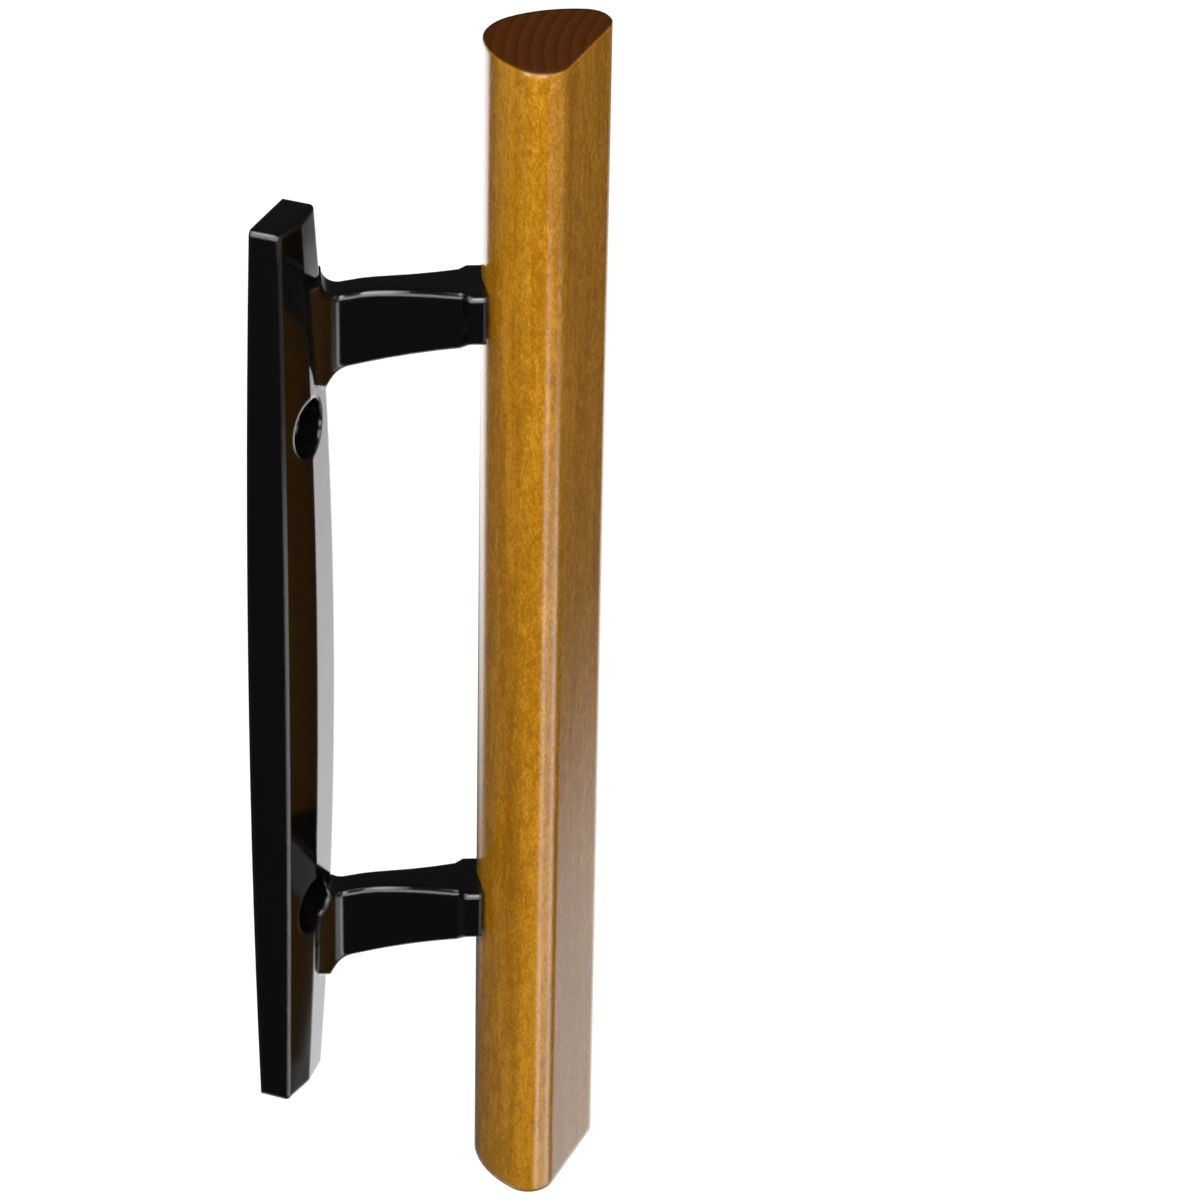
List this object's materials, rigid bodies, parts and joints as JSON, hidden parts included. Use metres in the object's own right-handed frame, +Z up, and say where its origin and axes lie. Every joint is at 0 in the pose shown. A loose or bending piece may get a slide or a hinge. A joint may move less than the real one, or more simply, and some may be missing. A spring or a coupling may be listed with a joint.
{
  "type": "sliding patio door handle",
  "caption": "Inside pull for a sliding patio door: a black cast base with two slanted arms that carry an upright wooden grip.",
  "frame": {"origin": "on the mounting plane, midway between the centres of the two mounting holes", "axes": "+Z up along the door's edge and the grip, +Y into the door, so the handle stands out along -Y, and +X is the side that the grip is offset to"},
  "size_m": [0.0519, 0.0493, 0.2341],
  "materials": {
    "black_casting": "gloss black enamel",
    "varnished_wood": "amber gloss varnish",
    "zinc_screw": "bright zinc"
  },
  "bodies": {
    "root": {"base_casting": "black_casting", "wood_grip": "varnished_wood", "grip_screws": "zinc_screw"}
  },
  "joints": []
}
